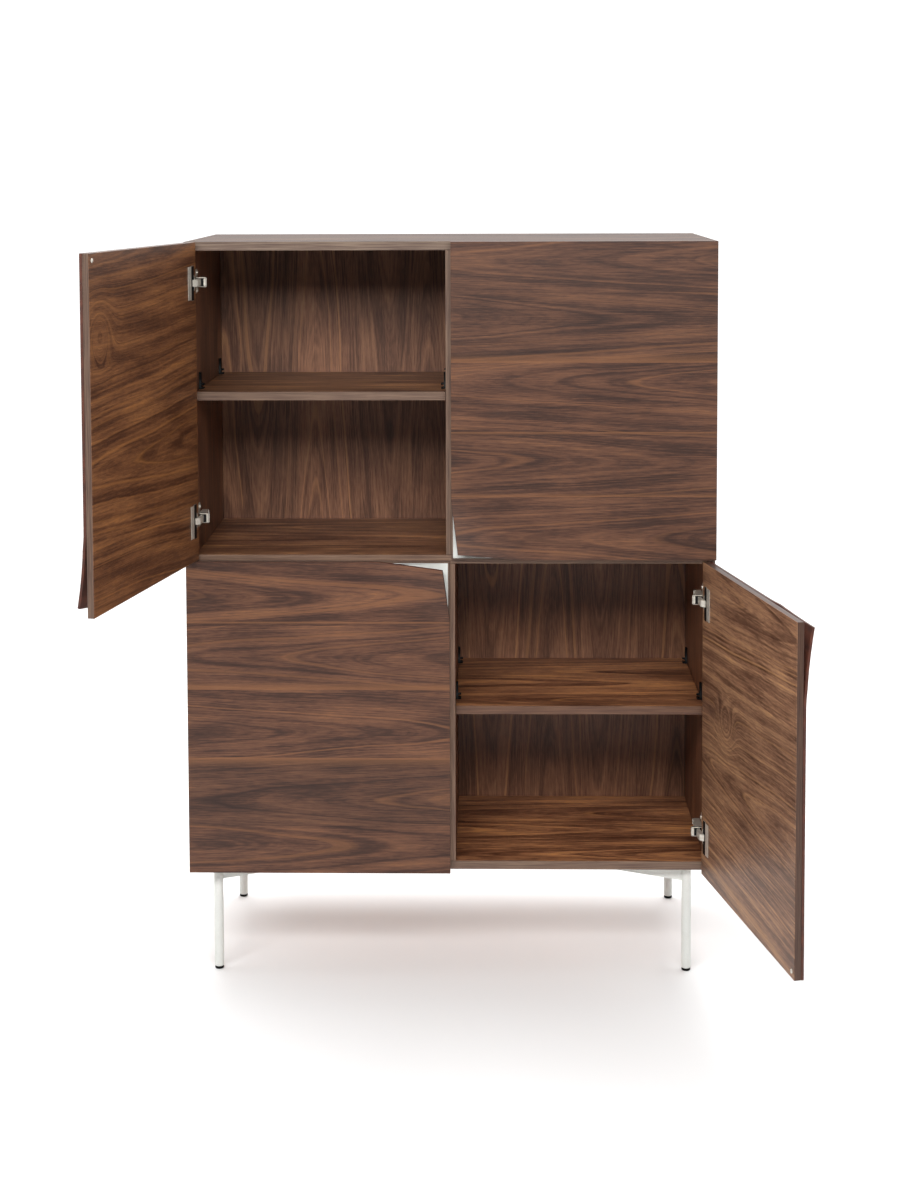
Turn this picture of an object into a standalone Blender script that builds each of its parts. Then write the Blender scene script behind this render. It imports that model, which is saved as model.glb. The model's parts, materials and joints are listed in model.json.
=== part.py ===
"""Veneered storage unit on steel legs: four equal compartments, each with a shelf and a door.

Every door is a panel with a thin plywood skin glued to its front. The skin's corner nearest the
middle of the unit peels away in a curve and is the finger grip. The unit stands with its upper
left and lower right doors open and the other two closed.

Metres, +Z up, front towards -Y. The origin is on the floor, in the middle of the box around the
whole unit with its two doors open.
"""

import math

import bmesh
import bpy
from mathutils import Euler, Vector

# Carcass: four mitred outer boards, a middle board, two dividers and a back set in from the rear.
WIDTH = 1.000
HEIGHT = 1.410
DEPTH = 0.437
FLOOR_CLEARANCE = 0.208
BOARD = 0.0165
BACK_BOARD = 0.012
COMPARTMENT_DEPTH = 0.385
MIDDLE_BOARD_CENTRE = 0.808
ARRIS = 0.0004
GAP = 0.0003

# Shelves, one in each compartment.
SHELF_TOP = {"upper": 1.125, "lower": 0.521}
SHELF_SETBACK = 0.018
SHELF_SIDE_GAP = 0.001
SHELF_BACK_GAP = 0.002

# Shelf supports: a waisted plastic post on the wall, with a foot on the shelf and a short peg.
SUPPORT_DEPTHS = {"front": 0.070, "rear": 0.345}
SUPPORT_HEIGHT = 0.032
SUPPORT_THICKNESS = 0.0045
SUPPORT_TOP_WIDTH = 0.011
SUPPORT_WAIST_WIDTH = 0.007
SUPPORT_FOOT_WIDTH = 0.016
SUPPORT_FOOT_REACH = 0.010
SUPPORT_FOOT_THICKNESS = 0.003
PEG_RADIUS = 0.0022
PEG_REACH = 0.0105
PEG_HEIGHT = 0.009

# Doors, in front of the carcass and flush with its sides.
DOOR_WIDTH = 0.498
DOOR_HEIGHT = 0.600
DOOR_BOTTOM = {"upper": 0.810, "lower": 0.206}
DOOR_TO_CARCASS = 0.002
PANEL = 0.012
SKIN = 0.0047
OPENED = math.radians(101.5)
DOOR_ANGLE = {
    ("upper", "left"): OPENED,
    ("upper", "right"): 0.0,
    ("lower", "left"): 0.0,
    ("lower", "right"): OPENED,
}

# The door's upright hinge axis, in from its edge and ahead of the carcass.
PIVOT_INSET = 0.0075
PIVOT_AHEAD = 0.018

# The peeled corner of the skin. Lengths run along the door's edges from the corner.
PEEL_ALONG_WIDTH = 0.131
PEEL_ALONG_HEIGHT = 0.113
PEEL_RETREAT = 0.013
PEEL_LIFT = 0.0185
PEEL_POWER = 1.6
FOLD_ALONG_WIDTH = 0.150
FOLD_ALONG_HEIGHT = 0.120
PEEL_STRIPS = 9

# The finger pocket milled in the panel's face behind the peeled corner.
POCKET_RIM = 0.004
POCKET_ALONG_WIDTH = 0.106
POCKET_ALONG_HEIGHT = 0.094
POCKET_SHALLOW = 0.0010
POCKET_DEEP = 0.0040

# Concealed hinges: a cup in the door and an arm on the side board.
HINGE_FROM_DOOR_END = 0.076
CUP_INSET = 0.022
CUP_RADIUS = 0.0173
CUP_BORE_RADIUS = 0.0176
CUP_DEPTH = 0.010
CUP_WALL = 0.001
FLANGE_PROUD = 0.0012
FLANGE_RADIUS = 0.0190
FLANGE_NEAR = 0.0230
FLANGE_FAR = 0.0405
FLANGE_HEIGHT = 0.062
ARM_HEIGHT = 0.015
PLATE_HEIGHT = 0.046

# Legs: a round tube under a folded gusset bracket, on a plastic glide.
LEG_RADIUS = 0.009
LEG_INSET = 0.0484
LEG_DEPTHS = {"front": 0.030, "rear": 0.403}
GLIDE_RADIUS = 0.0085
GLIDE_HEIGHT = 0.005
BRACKET_LENGTH = 0.150
BRACKET_WIDTH = 0.030
BRACKET_PLATE = 0.003
GUSSET_DEEP = 0.032
GUSSET_SHALLOW = 0.008
GUSSET_THICKNESS = 0.004

ROUND_SIDES = 24
SIDE_SIGN = {"left": -1, "right": 1}
INNER_WALL = WIDTH / 2 - BOARD
MITRE_TRIM = GAP / math.sqrt(2)


def clear_scene():
    for obj in list(bpy.data.objects):
        bpy.data.objects.remove(obj, do_unlink=True)


def new_collection(name, hidden=False):
    collection = bpy.data.collections.new(name)
    bpy.context.scene.collection.children.link(collection)
    collection.hide_render = hidden
    return collection


def linear(hex_colour):
    """The linear colour of an sRGB hex value such as "6b4c3c"."""
    channels = [int(hex_colour[i : i + 2], 16) / 255 for i in (0, 2, 4)]
    return [c / 12.92 if c <= 0.04045 else ((c + 0.055) / 1.055) ** 2.4 for c in channels]


def new_material(name, hex_colour, roughness, metallic=0.0):
    material = bpy.data.materials.new(name)
    material.use_nodes = True
    shader = material.node_tree.nodes["Principled BSDF"]
    colour = (*linear(hex_colour), 1.0)
    shader.inputs["Base Color"].default_value = colour
    shader.inputs["Roughness"].default_value = roughness
    shader.inputs["Metallic"].default_value = metallic
    material.diffuse_color = colour
    return material


def place(name, mesh, finish, parent, location=(0, 0, 0), turn=0.0, tilt=0.0, holder=None):
    """A new object for the mesh: tilt is its turn about Y, and turn the one about Z after it."""
    obj = bpy.data.objects.new(name, mesh)
    (holder or PARTS).objects.link(obj)
    obj.location = location
    obj.rotation_euler = Euler((0, tilt, turn))
    obj.parent = parent
    if not mesh.materials and finish:
        mesh.materials.append(finish)
    return obj


def new_mesh(name, shape):
    """The bmesh as mesh data with its faces out, freed afterwards."""
    bmesh.ops.recalc_face_normals(shape, faces=shape.faces)
    mesh = bpy.data.meshes.new(name)
    shape.to_mesh(mesh)
    shape.free()
    return mesh


def box_mesh(name, size):
    shape = bmesh.new()
    bmesh.ops.create_cube(shape, size=1.0)
    bmesh.ops.scale(shape, vec=size, verts=shape.verts)
    return new_mesh(name, shape)


def extent(low, high):
    """The size and the centre of a box between two corners."""
    size = Vector(high) - Vector(low)
    return size, (Vector(high) + Vector(low)) / 2


def ease_edges(obj, width=ARRIS):
    bevel = obj.modifiers.new("arris", "BEVEL")
    bevel.width = width
    bevel.segments = 1
    bevel.limit_method = "ANGLE"
    return obj


def board(name, low, high, finish, parent):
    """A rectangular board between two corners, with a fine arris all round."""
    size, centre = extent(low, high)
    return ease_edges(place(name, box_mesh(name, size), finish, parent, centre))


def cutter(name, mesh, parent=None, location=(0, 0, 0), turn=0.0, tilt=0.0):
    obj = place(name, mesh, None, parent, location, turn, tilt, CUTTERS)
    obj.hide_render = True
    obj.display_type = "WIRE"
    return obj


def combine(obj, other, operation):
    boolean = obj.modifiers.new(other.name, "BOOLEAN")
    boolean.operation = operation
    boolean.solver = "EXACT"
    boolean.object = other


def cylinder_mesh(name, radius, depth, axis="Z", sides=ROUND_SIDES):
    """A cylinder centred on the origin, along the axis named."""
    shape = bmesh.new()
    bmesh.ops.create_cone(
        shape, cap_ends=True, segments=sides, radius1=radius, radius2=radius, depth=depth
    )
    quarter = math.pi / 2
    turned = {"X": Euler((0, quarter, 0)), "Y": Euler((quarter, 0, 0)), "Z": Euler((0, 0, 0))}
    bmesh.ops.rotate(shape, matrix=turned[axis].to_matrix(), verts=shape.verts)
    mesh = new_mesh(name, shape)
    mesh.shade_smooth()
    mesh.set_sharp_from_angle(angle=math.radians(40))
    return mesh


def outline_mesh(name, outline, thickness, normal):
    """A flat outline as a slab of the given thickness, centred on its plane.

    The outline's two numbers are X and Y when the normal is Z, and X and Z when it is Y.
    """
    shape = bmesh.new()
    if normal == "Z":
        points = [shape.verts.new((a, b, -thickness / 2)) for a, b in outline]
        step = Vector((0, 0, thickness))
    else:
        points = [shape.verts.new((a, -thickness / 2, b)) for a, b in outline]
        step = Vector((0, thickness, 0))
    face = shape.faces.new(points)
    raised = bmesh.ops.extrude_face_region(shape, geom=[face])["geom"]
    moved = [item for item in raised if isinstance(item, bmesh.types.BMVert)]
    bmesh.ops.translate(shape, vec=step, verts=moved)
    return new_mesh(name, shape)


def finished_mesh(obj, finish):
    """An object's mesh as it stands, with its modifiers applied, for copies to share."""
    graph = bpy.context.evaluated_depsgraph_get()
    mesh = bpy.data.meshes.new_from_object(obj.evaluated_get(graph))
    mesh.transform(obj.matrix_world)
    mesh.name = obj.name
    mesh.materials.clear()
    mesh.materials.append(finish)
    mesh.shade_smooth()
    mesh.set_sharp_from_angle(angle=math.radians(35))
    bpy.data.objects.remove(obj, do_unlink=True)
    return mesh


def mitred_board(name, length, finish, parent, centre, tilt):
    """An outer board with 45 degree ends. Its inner face is its lower one before it is tilted."""
    shape = bmesh.new()
    bmesh.ops.create_cube(shape, size=1.0)
    bmesh.ops.scale(shape, vec=(length - 2 * MITRE_TRIM, DEPTH, BOARD), verts=shape.verts)
    for vert in shape.verts:
        if vert.co.z < 0:
            vert.co.x -= math.copysign(BOARD, vert.co.x)
    mesh = new_mesh(name, shape)
    return ease_edges(place(name, mesh, finish, parent, centre, tilt=tilt))


def build_carcass(unit):
    quarter = math.pi / 2
    middle = DEPTH / 2
    carcass_height = HEIGHT - FLOOR_CLEARANCE
    half_up = FLOOR_CLEARANCE + carcass_height / 2
    edge = WIDTH / 2 - BOARD / 2
    mitred_board("top_board", WIDTH, WALNUT, unit, (0, middle, HEIGHT - BOARD / 2), 0)
    low = FLOOR_CLEARANCE + BOARD / 2
    mitred_board("bottom_board", WIDTH, WALNUT, unit, (0, middle, low), 2 * quarter)
    for side, sign in SIDE_SIGN.items():
        centre = (sign * edge, middle, half_up)
        mitred_board(f"side_{side}", carcass_height, WALNUT, unit, centre, sign * quarter)

    inner = INNER_WALL - GAP
    deep = COMPARTMENT_DEPTH - GAP
    under, over = MIDDLE_BOARD_CENTRE - BOARD / 2, MIDDLE_BOARD_CENTRE + BOARD / 2
    floor, ceiling = FLOOR_CLEARANCE + BOARD + GAP, HEIGHT - BOARD - GAP
    board("middle_board", (-inner, 0, under), (inner, deep, over), WALNUT, unit)
    half = BOARD / 2
    board("divider_upper", (-half, 0, over + GAP), (half, deep, ceiling), WALNUT, unit)
    board("divider_lower", (-half, 0, floor), (half, deep, under - GAP), WALNUT, unit)
    rear = COMPARTMENT_DEPTH + BACK_BOARD
    back_low = (-inner, COMPARTMENT_DEPTH, floor)
    board("back_panel", back_low, (inner, rear, ceiling), WALNUT, unit)


def compartment_span(side):
    """The X of the compartment's outer wall and of the divider's face."""
    sign = SIDE_SIGN[side]
    return sign * INNER_WALL, sign * BOARD / 2


def build_shelves(unit):
    for level, top in SHELF_TOP.items():
        for side in SIDE_SIGN:
            low_x, high_x = sorted(compartment_span(side))
            low = (low_x + SHELF_SIDE_GAP, SHELF_SETBACK, top - BOARD)
            high = (high_x - SHELF_SIDE_GAP, COMPARTMENT_DEPTH - SHELF_BACK_GAP, top)
            board(f"shelf_{level}_{side}", low, high, WALNUT, unit)


def support_mesh():
    """A support on a wall whose face is X = 0, reaching to +X, with its foot at Z = 0."""
    widths = [
        (SUPPORT_FOOT_WIDTH, 0.0),
        (SUPPORT_FOOT_WIDTH, 0.25),
        (SUPPORT_WAIST_WIDTH, 0.55),
        (SUPPORT_WAIST_WIDTH, 0.70),
        (SUPPORT_TOP_WIDTH, 1.0),
    ]
    edge = [(width / 2, share * SUPPORT_HEIGHT) for width, share in widths]
    outline = edge + [(-y, z) for y, z in reversed(edge)]
    mesh = outline_mesh("support_post", outline, SUPPORT_THICKNESS, "Y")
    post = place("support_post", mesh, None, None, turn=math.pi / 2)
    post.location.x = SUPPORT_THICKNESS / 2 + GAP
    low = (GAP, -SUPPORT_FOOT_WIDTH / 2, 0)
    size, centre = extent(
        low, (SUPPORT_FOOT_REACH, SUPPORT_FOOT_WIDTH / 2, SUPPORT_FOOT_THICKNESS)
    )
    foot = cutter("support_foot", box_mesh("support_foot", size), location=centre)
    peg_mesh = cylinder_mesh("support_peg", PEG_RADIUS, PEG_REACH - 2 * GAP, "X", 12)
    peg = cutter("support_peg", peg_mesh, location=(PEG_REACH / 2, 0, PEG_HEIGHT))
    combine(post, foot, "UNION")
    combine(post, peg, "UNION")
    return finished_mesh(post, BLACK_PLASTIC)


def build_supports(unit):
    """Four supports for each shelf, two on either wall."""
    mesh = support_mesh()
    for level, side in DOOR_ANGLE:
        outer, inner = compartment_span(side)
        for wall, x in (("outer", outer), ("inner", inner)):
            turn = 0 if x < (outer + inner) / 2 else math.pi
            for row, y in SUPPORT_DEPTHS.items():
                spot = (x, y, SHELF_TOP[level] + GAP)
                name = f"support_{level}_{side}_{wall}_{row}"
                place(name, mesh, BLACK_PLASTIC, unit, spot, turn)


def peel_lift(from_edge, from_end):
    """How far the skin stands off, from the distances to the free edge and to the peeled end."""
    across = (from_edge - PEEL_RETREAT) / FOLD_ALONG_WIDTH
    along = (from_end - PEEL_RETREAT) / FOLD_ALONG_HEIGHT
    return PEEL_LIFT * max(0.0, 1.0 - across - along) ** PEEL_POWER


def skin_mesh(name, side, level):
    """The plywood skin, in the closed door's frame: X from the hinge edge, Z from the bottom.

    It is an open sheet at the skin's outer face, creased along lines of equal lift and then
    bent forwards. Solidify gives it its thickness towards the panel.
    """
    sign = SIDE_SIGN[side]
    peel_up = level == "lower"
    outline = [
        (DOOR_WIDTH, 0.0),
        (PEEL_ALONG_WIDTH, 0.0),
        (PEEL_RETREAT, PEEL_RETREAT),
        (0.0, PEEL_ALONG_HEIGHT),
        (0.0, DOOR_HEIGHT),
        (DOOR_WIDTH, DOOR_HEIGHT),
    ]
    shape = bmesh.new()
    shape.faces.new([shape.verts.new((a, 0, b)) for a, b in outline])
    slope = Vector((1 / FOLD_ALONG_WIDTH, 0, 1 / FOLD_ALONG_HEIGHT))
    for step in range(1, PEEL_STRIPS + 1):
        share = step / PEEL_STRIPS
        point = Vector((PEEL_RETREAT + share * FOLD_ALONG_WIDTH, 0, PEEL_RETREAT))
        everything = shape.verts[:] + shape.edges[:] + shape.faces[:]
        bmesh.ops.bisect_plane(shape, geom=everything, plane_co=point, plane_no=slope)
    for vert in shape.verts:
        lift = peel_lift(vert.co.x, vert.co.z)
        x = sign * (vert.co.x - DOOR_WIDTH)
        z = DOOR_HEIGHT - vert.co.z if peel_up else vert.co.z
        vert.co = Vector((x, -lift, z))
    for face in shape.faces:
        face.normal_update()
        if face.normal.y > 0:
            face.normal_flip()
    mesh = bpy.data.meshes.new(name)
    shape.to_mesh(mesh)
    shape.free()
    return mesh


def pocket_mesh(name, side, level):
    """The cutter of the finger pocket, in the door's frame: a wedge, deeper under the fold."""
    sign = SIDE_SIGN[side]
    peel_up = level == "lower"
    outline = [
        (POCKET_RIM, POCKET_RIM),
        (POCKET_RIM + POCKET_ALONG_WIDTH, POCKET_RIM),
        (POCKET_RIM, POCKET_RIM + POCKET_ALONG_HEIGHT),
    ]
    mesh = outline_mesh(name, outline, 2 * POCKET_SHALLOW, "Y")
    for vert in mesh.vertices:
        under_fold = vert.co.x + vert.co.z > 3 * POCKET_RIM
        if vert.co.y > 0 and under_fold:
            vert.co.y = POCKET_DEEP
        vert.co.x = sign * (vert.co.x - DOOR_WIDTH)
        vert.co.z = DOOR_HEIGHT - vert.co.z if peel_up else vert.co.z
    shape = bmesh.new()
    shape.from_mesh(mesh)
    bpy.data.meshes.remove(mesh)
    return new_mesh(name, shape)


def cup_mesh():
    """A hinge cup for a left door, its mouth at Y = 0 facing +Y and its flange plate at +X."""
    body_mesh = cylinder_mesh("cup_body", CUP_RADIUS, CUP_DEPTH, "Y")
    body = place("cup_body", body_mesh, None, None, (0, -CUP_DEPTH / 2, 0))
    ring_mesh = cylinder_mesh("cup_ring", FLANGE_RADIUS, FLANGE_PROUD - GAP, "Y")
    ring = cutter("cup_ring", ring_mesh, location=(0, (FLANGE_PROUD + GAP) / 2, 0))
    near, far = FLANGE_NEAR - CUP_INSET, FLANGE_FAR - CUP_INSET
    low = (near, GAP, -FLANGE_HEIGHT / 2)
    size, centre = extent(low, (far, FLANGE_PROUD, FLANGE_HEIGHT / 2))
    plate = cutter("cup_plate", box_mesh("cup_plate", size), location=centre)
    neck_mesh = cylinder_mesh("cup_neck", CUP_RADIUS, 4 * GAP, "Y")
    neck = cutter("cup_neck", neck_mesh)
    hollow_depth = CUP_DEPTH - CUP_WALL + 2 * FLANGE_PROUD
    hollow_mesh = cylinder_mesh("cup_hollow", CUP_RADIUS - CUP_WALL, hollow_depth, "Y")
    hollow_at = (0, hollow_depth / 2 - CUP_DEPTH + CUP_WALL, 0)
    hollow = cutter("cup_hollow", hollow_mesh, location=hollow_at)
    for part in (neck, ring, plate):
        combine(body, part, "UNION")
    combine(body, hollow, "DIFFERENCE")
    return finished_mesh(body, NICKEL)


def arm_mesh():
    """A hinge arm on a left wall whose face is X = 0, with the carcass front at Y = 0."""
    profile = [
        (0.0025, 0.064),
        (0.0025, 0.010),
        (0.0045, 0.0015),
        (0.0225, 0.0010),
        (0.0230, 0.0100),
        (0.0165, 0.040),
        (0.0160, 0.064),
    ]
    arm = place("arm_body", outline_mesh("arm_body", profile, ARM_HEIGHT, "Z"), None, None)
    size, centre = extent(
        (GAP, 0.026, -PLATE_HEIGHT / 2), (0.0028, 0.048, PLATE_HEIGHT / 2)
    )
    plate = cutter("arm_plate", box_mesh("arm_plate", size), location=centre)
    combine(arm, plate, "UNION")
    return finished_mesh(arm, NICKEL)


def hinge_heights(level):
    low = DOOR_BOTTOM[level] + HINGE_FROM_DOOR_END
    return {"bottom": low, "top": low + DOOR_HEIGHT - 2 * HINGE_FROM_DOOR_END}


def build_doors(unit):
    cup, arm = cup_mesh(), arm_mesh()
    bore_mesh = cylinder_mesh("cup_bore", CUP_BORE_RADIUS, 2 * (CUP_DEPTH + GAP), "Y")
    inner_face = PIVOT_AHEAD - DOOR_TO_CARCASS
    for (level, side), angle in DOOR_ANGLE.items():
        sign = SIDE_SIGN[side]
        door = f"{level}_{side}"
        bottom = DOOR_BOTTOM[level]
        hinge = bpy.data.objects.new(f"hinge_axis_{door}", None)
        PARTS.objects.link(hinge)
        hinge.parent = unit
        hinge.location = (sign * (WIDTH / 2 - PIVOT_INSET), -PIVOT_AHEAD, 0)
        hinge.rotation_euler.z = sign * angle

        edge = sign * PIVOT_INSET
        far = edge - sign * DOOR_WIDTH
        low = (min(edge, far), inner_face - PANEL + GAP / 2, bottom)
        high = (max(edge, far), inner_face, bottom + DOOR_HEIGHT)
        panel = board(f"door_panel_{door}", low, high, WALNUT, hinge)
        turn_over = 0 if side == "left" else math.pi
        cup_x = edge - sign * CUP_INSET
        for end, height in hinge_heights(level).items():
            spot = (cup_x, inner_face, height)
            bore = cutter(f"bore_{door}_{end}", bore_mesh, hinge, spot)
            combine(panel, bore, "DIFFERENCE")
            place(f"hinge_cup_{door}_{end}", cup, NICKEL, hinge, spot, tilt=turn_over)
            wall = (sign * INNER_WALL, 0, height)
            place(f"hinge_arm_{door}_{end}", arm, NICKEL, unit, wall, tilt=turn_over)

        front = inner_face - PANEL
        corner = (edge, front - GAP / 2 - SKIN, bottom)
        pocket = cutter(
            f"pocket_{door}", pocket_mesh(f"pocket_{door}", side, level), hinge, (edge, front, bottom)
        )
        combine(panel, pocket, "DIFFERENCE")
        skin_name = f"door_skin_{door}"
        skin = place(skin_name, skin_mesh(skin_name, side, level), WALNUT, hinge, corner)
        solidify = skin.modifiers.new("plywood", "SOLIDIFY")
        solidify.thickness = SKIN
        solidify.offset = -1
        solidify.use_even_offset = True


def leg_mesh():
    """A front or rear leg for the left side, its tube on X = Y = 0 and its bracket to +X."""
    top = FLOOR_CLEARANCE - GAP
    tube_low = GLIDE_HEIGHT + GAP
    tube_mesh = cylinder_mesh("leg_tube", LEG_RADIUS, top - tube_low, "Z")
    tube = place("leg_tube", tube_mesh, None, None, (0, 0, (top + tube_low) / 2))
    low = (-BRACKET_WIDTH / 2, -BRACKET_WIDTH / 2, top - BRACKET_PLATE)
    size, centre = extent(low, (BRACKET_LENGTH, BRACKET_WIDTH / 2, top + GAP / 2))
    plate = cutter("leg_plate", box_mesh("leg_plate", size), location=centre)
    under = top - BRACKET_PLATE / 2
    gusset_outline = [
        (0, under),
        (BRACKET_LENGTH - BRACKET_PLATE, under),
        (BRACKET_LENGTH - BRACKET_PLATE, top - GUSSET_SHALLOW),
        (0, top - GUSSET_DEEP),
    ]
    gusset_mesh = outline_mesh("leg_gusset", gusset_outline, GUSSET_THICKNESS, "Y")
    gusset = cutter("leg_gusset", gusset_mesh)
    combine(tube, gusset, "UNION")
    combine(tube, plate, "UNION")
    return finished_mesh(tube, WHITE_STEEL)


def build_legs(unit):
    leg = leg_mesh()
    glide = cylinder_mesh("glide", GLIDE_RADIUS, GLIDE_HEIGHT, "Z")
    for side, sign in SIDE_SIGN.items():
        x = sign * (WIDTH / 2 - LEG_INSET)
        for row, y in LEG_DEPTHS.items():
            turn = 0 if side == "left" else math.pi
            place(f"leg_{row}_{side}", leg, WHITE_STEEL, unit, (x, y, 0), turn)
            spot = (x, y, GLIDE_HEIGHT / 2)
            place(f"glide_{row}_{side}", glide, BLACK_PLASTIC, unit, spot)


def open_reach():
    """How far an open door reaches ahead of the carcass front."""
    along = DOOR_WIDTH - PIVOT_INSET
    inner_face = PIVOT_AHEAD - DOOR_TO_CARCASS
    return PIVOT_AHEAD + along * math.sin(OPENED) - inner_face * math.cos(OPENED)


clear_scene()
PARTS = new_collection("veneered_storage_unit")
CUTTERS = new_collection("cutters", hidden=True)
WALNUT = new_material("walnut_veneer", "6b4c3c", 0.45)
NICKEL = new_material("nickel_plated_steel", "c9c5bc", 0.30, 1.0)
WHITE_STEEL = new_material("white_powder_coat", "e6e6e1", 0.40)
BLACK_PLASTIC = new_material("black_plastic", "161618", 0.45)

UNIT = bpy.data.objects.new("unit", None)
PARTS.objects.link(UNIT)
UNIT.location = (0, (open_reach() - DEPTH) / 2, 0)

build_carcass(UNIT)
build_shelves(UNIT)
build_supports(UNIT)
build_doors(UNIT)
build_legs(UNIT)
for leftover in list(CUTTERS.objects):
    if not leftover.name.startswith(("bore_", "pocket_")):
        bpy.data.objects.remove(leftover, do_unlink=True)
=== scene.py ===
"""A walnut-veneered storage unit on white steel legs, with two of its four doors open."""

import json
import math

import bmesh
import bpy
from mathutils import Matrix, Vector


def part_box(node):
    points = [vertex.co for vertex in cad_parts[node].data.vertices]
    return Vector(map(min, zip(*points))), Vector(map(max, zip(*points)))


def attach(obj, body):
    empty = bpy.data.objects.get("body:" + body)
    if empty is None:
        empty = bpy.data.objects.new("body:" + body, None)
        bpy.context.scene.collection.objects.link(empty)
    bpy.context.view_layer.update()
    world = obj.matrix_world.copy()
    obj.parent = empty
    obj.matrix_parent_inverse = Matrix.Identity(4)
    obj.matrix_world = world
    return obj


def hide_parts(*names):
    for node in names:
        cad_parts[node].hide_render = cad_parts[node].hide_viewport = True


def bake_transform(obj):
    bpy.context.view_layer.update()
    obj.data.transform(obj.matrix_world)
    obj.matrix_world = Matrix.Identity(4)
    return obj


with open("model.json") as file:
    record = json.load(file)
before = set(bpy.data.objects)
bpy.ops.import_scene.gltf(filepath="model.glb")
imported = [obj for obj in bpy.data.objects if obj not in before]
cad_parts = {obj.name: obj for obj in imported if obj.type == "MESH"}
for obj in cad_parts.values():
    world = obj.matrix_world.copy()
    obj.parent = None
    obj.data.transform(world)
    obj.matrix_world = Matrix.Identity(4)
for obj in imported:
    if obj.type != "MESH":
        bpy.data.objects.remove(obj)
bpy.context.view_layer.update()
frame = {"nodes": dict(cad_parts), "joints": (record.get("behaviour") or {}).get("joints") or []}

nodes = frame["nodes"]


# ---------------------------------------------------------------------------------------------
# Walnut veneer. The boards are particle board faced with sliced American walnut, laid up in
# leaves about 130 mm wide. A leaf is a flat slice of a tapering log, so its growth rings show as
# nested arches along the grain: brown lines with paler streaks, under a thin satin lacquer.

LEAF_WIDTH = 0.131
WALNUT_DARK = "50362c"
WALNUT_DEEP = "70554a"
WALNUT_MID = "957566"
WALNUT_LIGHT = "b3927d"
WALNUT_PALE = "d9b088"
CUT_FROM_PITH = 0.026
LOG_TAPER = 0.062
LEAF_KINDS = 40.0


def linear(hex_colour, alpha=1.0):
    """The linear colour of an sRGB hex value."""
    channels = [int(hex_colour[i : i + 2], 16) / 255 for i in (0, 2, 4)]
    light = [c / 12.92 if c <= 0.04045 else ((c + 0.055) / 1.055) ** 2.4 for c in channels]
    return (*light, alpha)


def add(tree, kind, inputs=None, out=0, stops=(), family="ShaderNode", **settings):
    """Adds a node with its settings and inputs, and gives back one of its outputs.

    Stops are a colour ramp's, each a position and an sRGB hex colour.
    """
    made = tree.nodes.new(family + kind)
    for setting, value in settings.items():
        setattr(made, setting, value)
    for key, value in (inputs or {}).items():
        if isinstance(value, bpy.types.NodeSocket):
            tree.links.new(value, made.inputs[key])
        else:
            made.inputs[key].default_value = value
    while stops and len(made.color_ramp.elements) < len(stops):
        made.color_ramp.elements.new(0.5)
    for number, (position, hex_colour) in enumerate(stops):
        made.color_ramp.elements[number].position = position
        made.color_ramp.elements[number].color = linear(hex_colour)
    return made.outputs[out]


# How the shader nodes are set: a colour laid over another by a mask, a tint that multiplies the
# colour under it and also carries painted light and shade, and a value carried smoothly from one
# range to another.
OVERLAY = {"out": 2, "data_type": "RGBA"}
TINT_AND_LIGHT_MIX = {"out": 2, "data_type": "RGBA", "blend_type": "MULTIPLY"}
SMOOTH = {"interpolation_type": "SMOOTHSTEP"}


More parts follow.
